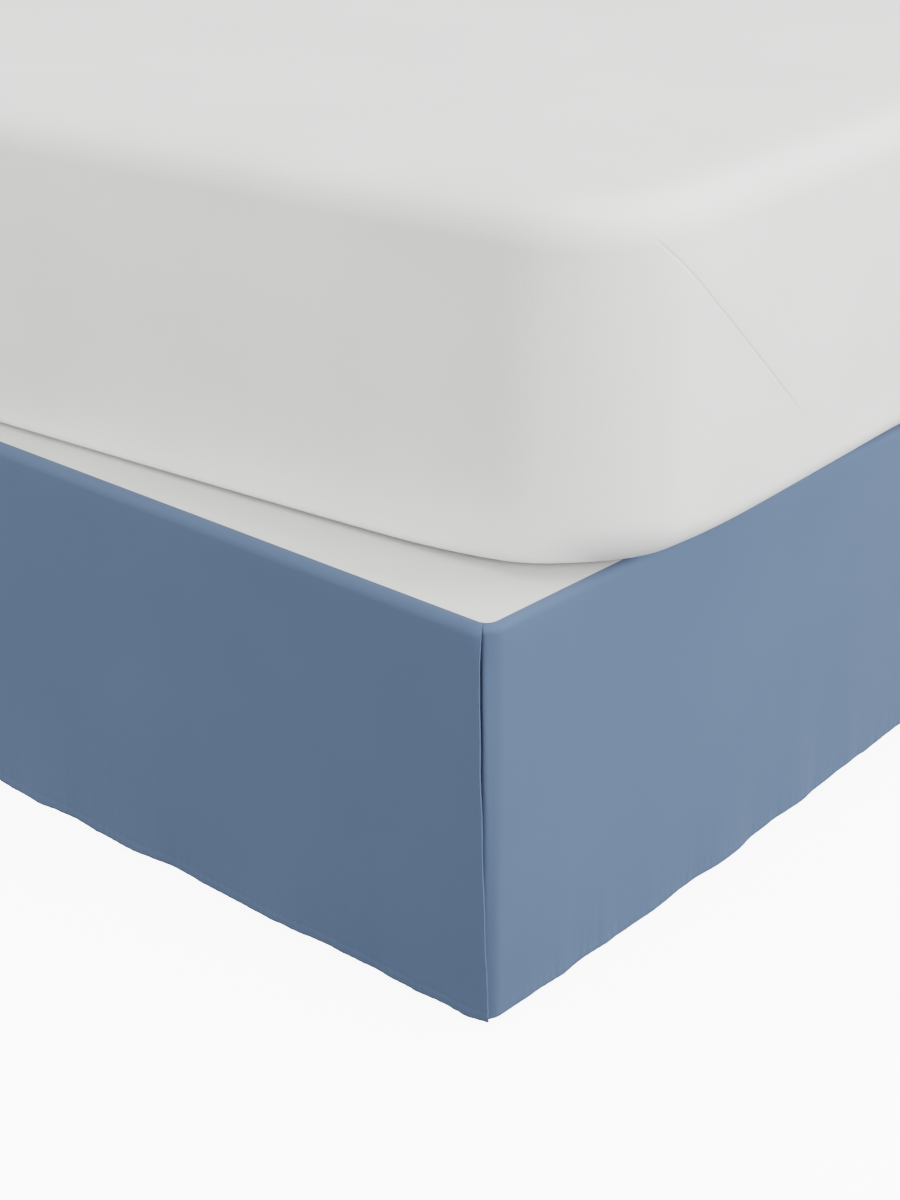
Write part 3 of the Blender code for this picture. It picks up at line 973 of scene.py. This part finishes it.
def crease_groove(tree, turned, normal):
    """The fold's edge: a groove along the crease line on both side faces, at all four corners."""
    start = Vector((MATTRESS_Y - CREASE_TOP[0], MATTRESS_BASE + CREASE_TOP[1]))
    line = Vector(CREASE_LOW) - Vector(CREASE_TOP)
    axes = add_node(tree, "ShaderNodeSeparateXYZ", {"Vector": turned})
    off_middle = add_node(tree, "ShaderNodeMath", {0: axes.outputs["Y"]}, operation="ABSOLUTE")

    def combine(operation, *inputs):
        combined = add_node(tree, "ShaderNodeMath", dict(enumerate(inputs)), operation=operation)
        return combined.outputs[0]

    def distance(direction):
        """How far a point of the side lies from the crease's upper end in one direction."""
        ahead = direction.x * start.x - direction.y * start.y
        ahead = combine("MULTIPLY_ADD", off_middle.outputs[0], -direction.x, ahead)
        return combine("MULTIPLY_ADD", axes.outputs["Z"], direction.y, ahead)

    def ramp(value, low, high):
        rising = add_node(
            tree,
            "ShaderNodeMapRange",
            {"Value": value, "From Min": low, "From Max": high},
            interpolation_type="SMOOTHSTEP",
        )
        return rising.outputs["Result"]

    down = line.normalized()
    off_line = combine("ABSOLUTE", distance(Vector((-down.y, down.x))))
    along = distance(down)
    upper_end = ramp(along, -CREASE_FADE, 0.0)
    lower_end = ramp(along, line.length, CREASE_FULL_TO * line.length)
    ends = combine("MULTIPLY", upper_end, lower_end)
    height = combine("MULTIPLY", ramp(off_line, CREASE_WIDE, 0.0), ends)
    bump = add_node(
        tree,
        "ShaderNodeBump",
        {"Height": height, "Strength": 1.0, "Distance": CREASE_DEEP, "Normal": normal},
        invert=True,
    )
    return bump.outputs["Normal"]


def white_percale():
    """Cotton percale: threads drawn 1.2 mm apart along all three axes, so each face shows its grid."""
    material, tree, shader = new_material(
        "white_percale", IOR=1.5, Roughness=0.85, Sheen_Weight=0.2, Sheen_Roughness=0.5
    )
    place = add_node(tree, "ShaderNodeTexCoord", {}).outputs["Object"]
    turned = add_node(tree, "ShaderNodeMapping", {"Vector": place})
    turned.inputs["Rotation"].default_value = (0.0, 0.0, -math.radians(MATTRESS_TURN_DEG))
    threads = add_node(
        tree,
        "ShaderNodeVectorMath",
        {0: turned.outputs["Vector"], 1: (2.0 * math.pi / PERCALE_THREAD,) * 3},
        operation="MULTIPLY",
    )
    waves = add_node(tree, "ShaderNodeVectorMath", {0: threads.outputs["Vector"]}, operation="SINE")
    weave = add_node(
        tree,
        "ShaderNodeVectorMath",
        {0: waves.outputs["Vector"], 1: (1.0, 1.0, 1.0)},
        operation="DOT_PRODUCT",
    )
    slubs = add_node(
        tree, "ShaderNodeTexNoise", {"Vector": turned.outputs["Vector"], "Scale": 420.0, "Detail": 2.0}
    )
    blotches = add_node(tree, "ShaderNodeTexNoise", {"Vector": place, "Scale": 6.0, "Detail": 4.0})
    tone = add_node(tree, "ShaderNodeMix", {"Factor": blotches.outputs["Fac"]}, data_type="RGBA")
    tone.inputs["A"].default_value = linear("#d6d6d4")
    tone.inputs["B"].default_value = linear("#e2e2e0")
    height = add_node(
        tree,
        "ShaderNodeMath",
        {0: slubs.outputs["Fac"], 1: PERCALE_SLUB_HEIGHT, 2: weave.outputs["Value"]},
        operation="MULTIPLY_ADD",
    )
    bump = add_node(
        tree, "ShaderNodeBump", {"Height": height.outputs[0], "Strength": 0.5, "Distance": 0.00003}
    )
    creased = crease_groove(tree, turned.outputs["Vector"], bump.outputs["Normal"])
    tree.links.new(tone.outputs["Result"], shader.inputs["Base Color"])
    tree.links.new(creased, shader.inputs["Normal"])
    return material


def mattress_rows():
    """The rows from the underside up: each gives rise and inset for a radius of the lower edge."""
    rows = [lambda radius, inset=inset: (0.0, inset) for inset in UNDERSIDE_INSETS]
    for angle in spread(math.radians(90.0), 0.0, math.radians(EDGE_STEP_DEG)):
        rows.append(
            lambda radius, angle=angle: (
                radius * (1.0 - math.sin(angle)),
                radius * (1.0 - math.cos(angle)),
            )
        )
    for share in spread(0.0, 1.0, LEVEL_STEP / SHOULDER)[1:-1]:
        rows.append(
            lambda radius, share=share: (
                radius + (SHOULDER - radius) * share,
                -BELLY * math.sin(math.pi * share),
            )
        )
    table = [Vector(level) for level in MATTRESS_LEVELS]
    places = through(table, lambda start: LEVEL_STEP if start.y < SHOULDER_INSET else TOP_STEP)
    return rows + [lambda radius, place=place: tuple(place) for place in places]


def make_mattress():
    """The padded piece: its rings, with the crease's fold and the faces' unevenness, all turned."""
    outline = mattress_ring(0.0)
    turn = Matrix.Rotation(math.radians(MATTRESS_TURN_DEG), 3, "Z")
    rings = []
    for row in mattress_rows():
        inset = row(FOOT_EDGE)[1]
        ring = mattress_ring(inset) if inset > CORNER_EDGE else outline
        points = []
        for flat, outward, corner_distance, long_side in ring:
            rise, inset = row(edge_radius(outward, corner_distance))
            if ring is outline:
                flat = flat - outward * inset
            upright = smooth_step(rise, 0.0, UPRIGHT_AT) * (1.0 - smooth_step(inset, *UPRIGHT_ENDS))
            if long_side and corner_distance > CREASE_FROM and upright > 0.0:
                outward_side = Vector((math.copysign(1.0, flat.x), 0.0))
                flat = flat + outward_side * crease_relief(corner_distance, rise) * upright
            puff = 0.0
            for waves, waves_up, height in PUFFS:
                puff += drift(flat.x * waves, flat.y * waves, rise * waves_up) * height
            flat = flat + outward * puff * upright
            lift = puff * PUFF_ON_TOP * smooth_step(inset, *TOP_STARTS) * smooth_step(rise, *TOP_ABOVE)
            points.append(turn @ Vector((flat.x, flat.y, MATTRESS_BASE + rise + lift)))
        rings.append(points)
    mattress = stack_rings("mattress_in_sheet", rings)
    mattress.data.shade_smooth()
    mattress.data.materials.append(white_percale())
    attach(mattress, "root")
    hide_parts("mattress")


make_mattress()

# Floor: a plain white studio floor that glows, as one lit from below does. A dark ground just under
# it takes the place of its bounce, so the skirt's lower part stays as deep as in the photo.

FLOOR_SIZE = 30.0
FLOOR_GLOW = 3.5
GROUND_Z = -0.002


def matt_paint(name, darkest, palest):
    """Matt paint, mottled a little between two tones."""
    material, tree, shader = new_material(name, IOR=1.5, Roughness=0.9)
    place = add_node(tree, "ShaderNodeTexCoord", {}).outputs["Object"]
    mottle = add_node(tree, "ShaderNodeTexNoise", {"Vector": place, "Scale": 3.0, "Detail": 4.0})
    tone = add_node(tree, "ShaderNodeMix", {"Factor": mottle.outputs["Fac"]}, data_type="RGBA")
    tone.inputs["A"].default_value = linear(darkest)
    tone.inputs["B"].default_value = linear(palest)
    tree.links.new(tone.outputs["Result"], shader.inputs["Base Color"])
    return material


def stage_plane(name, height, material):
    """A level plane for the stage alone."""
    deselect()
    bpy.ops.mesh.primitive_plane_add(size=FLOOR_SIZE, location=(0.0, 0.0, height))
    plane = bpy.context.object
    plane.name = name
    plane.data.materials.append(material)
    return plane


def make_floor():
    """The floor, which doesn't light the bed, and the ground, which the camera doesn't see."""
    white = matt_paint("matt_white_paint", "#eeeeed", "#f2f2f1")
    glow = white.node_tree.nodes["Principled BSDF"].inputs
    glow["Emission Color"].default_value = (1.0, 1.0, 1.0, 1.0)
    glow["Emission Strength"].default_value = FLOOR_GLOW
    floor = stage_plane("studio_floor", 0.0, white)
    floor.visible_diffuse = False
    floor.visible_glossy = False
    grey = matt_paint("matt_grey_paint", "#5c5c5e", "#646466")
    ground = stage_plane("dark_ground", GROUND_Z, grey)
    ground.visible_camera = False
    deselect()


make_floor()

# Lights: broad softboxes to the right of the bed, behind it to the right, before its foot, overhead
# and, weaker, to the left, and a pale room around them. The right side is the brightest.

LIGHTS_AIM = Vector((0.4, -0.6, 0.3))
ROOM_GLOW = 0.42
# Each softbox's name, place, size and watts
SOFTBOXES = [
    ("right_softbox", (4.6, -0.4, 1.1), 2.0, 140.0),
    ("back_softbox", (3.6, 2.4, 2.0), 2.0, 73.0),
    ("foot_softbox", (-0.2, -4.6, 1.0), 2.0, 90.0),
    ("left_softbox", (-4.6, 0.8, 1.3), 2.0, 55.0),
    ("overhead_softbox", (0.4, -0.4, 4.2), 3.0, 96.0),
]


def softbox(name, place, size, watts):
    """A square area light that faces the part of the bed before the camera."""
    data = bpy.data.lights.new(name, "AREA")
    data.shape = "SQUARE"
    data.size = size
    data.energy = watts
    lamp = bpy.data.objects.new(name, data)
    lamp.location = place
    lamp.rotation_euler = (LIGHTS_AIM - Vector(place)).to_track_quat("-Z", "Y").to_euler()
    bpy.context.scene.collection.objects.link(lamp)


def light_room():
    """The softboxes and the pale room around them."""
    for name, place, size, watts in SOFTBOXES:
        softbox(name, place, size, watts)
    world = bpy.data.worlds.new("pale_room")
    bpy.context.scene.world = world
    world.use_nodes = True
    room = world.node_tree.nodes["Background"].inputs
    room["Color"].default_value = (1.0, 1.0, 1.0, 1.0)
    room["Strength"].default_value = ROOM_GLOW


light_room()

# Camera: above and before the near corner of the foot, looking down on it. Its place is given from
# that corner of the box spring, on the floor.

CAMERA_FROM_CORNER = Vector((0.9807, -1.1372, 1.0774))
CAMERA_HEADING_DEG = 41.874
CAMERA_DOWN_DEG = 24.748
CAMERA_ROLL_DEG = -0.113
FOCAL_PIXELS = 2214.3
IMAGE_HEIGHT = 1200
SENSOR_HEIGHT = 36.0


def place_camera():
    """The camera, as fitted to the edges of the photo's near corner."""
    data = bpy.data.cameras.new("corner_camera")
    data.sensor_fit = "VERTICAL"
    data.sensor_height = SENSOR_HEIGHT
    data.lens = FOCAL_PIXELS / IMAGE_HEIGHT * SENSOR_HEIGHT
    camera = bpy.data.objects.new("corner_camera", data)
    heading = Matrix.Rotation(math.radians(CAMERA_HEADING_DEG), 4, "Z")
    tilt = Matrix.Rotation(math.radians(90.0 - CAMERA_DOWN_DEG), 4, "X")
    roll = Matrix.Rotation(math.radians(CAMERA_ROLL_DEG), 4, "Z")
    corner = Vector((BED_WIDTH / 2.0, -BED_LENGTH / 2.0, 0.0))
    camera.matrix_world = Matrix.Translation(corner + CAMERA_FROM_CORNER) @ heading @ tilt @ roll
    bpy.context.scene.collection.objects.link(camera)
    bpy.context.scene.camera = camera


place_camera()
bpy.context.scene.view_settings.view_transform = "Filmic"
bpy.context.scene.view_settings.look = "High Contrast"
